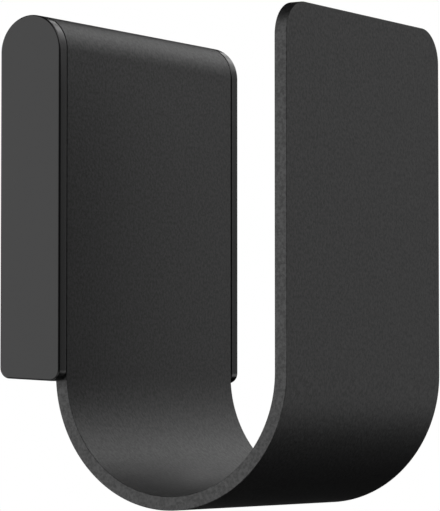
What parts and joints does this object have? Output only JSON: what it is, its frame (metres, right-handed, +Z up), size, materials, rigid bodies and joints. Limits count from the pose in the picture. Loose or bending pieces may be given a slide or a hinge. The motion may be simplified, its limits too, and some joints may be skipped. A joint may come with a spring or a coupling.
{
  "type": "ev connector holder",
  "caption": "Wall hook for an EV charging cable: a bent steel strip with a U bend hangs over a moulded wall mount with side cheeks, locked by a screw from below.",
  "frame": {"origin": "on the wall plane, midway between the wall mount's screw holes", "axes": "+Z up, +Y into the wall, +X along the strip's width; the hook stands out towards -Y"},
  "size_m": [0.082, 0.0799, 0.1203],
  "materials": {
    "powder_coat": "fine matt powder coat",
    "moulding": "smooth satin moulding",
    "screw_steel": "zinc plated"
  },
  "bodies": {
    "root": {"hook_strip": "powder_coat", "wall_mount": "moulding", "lock_screw": "screw_steel"}
  },
  "joints": []
}
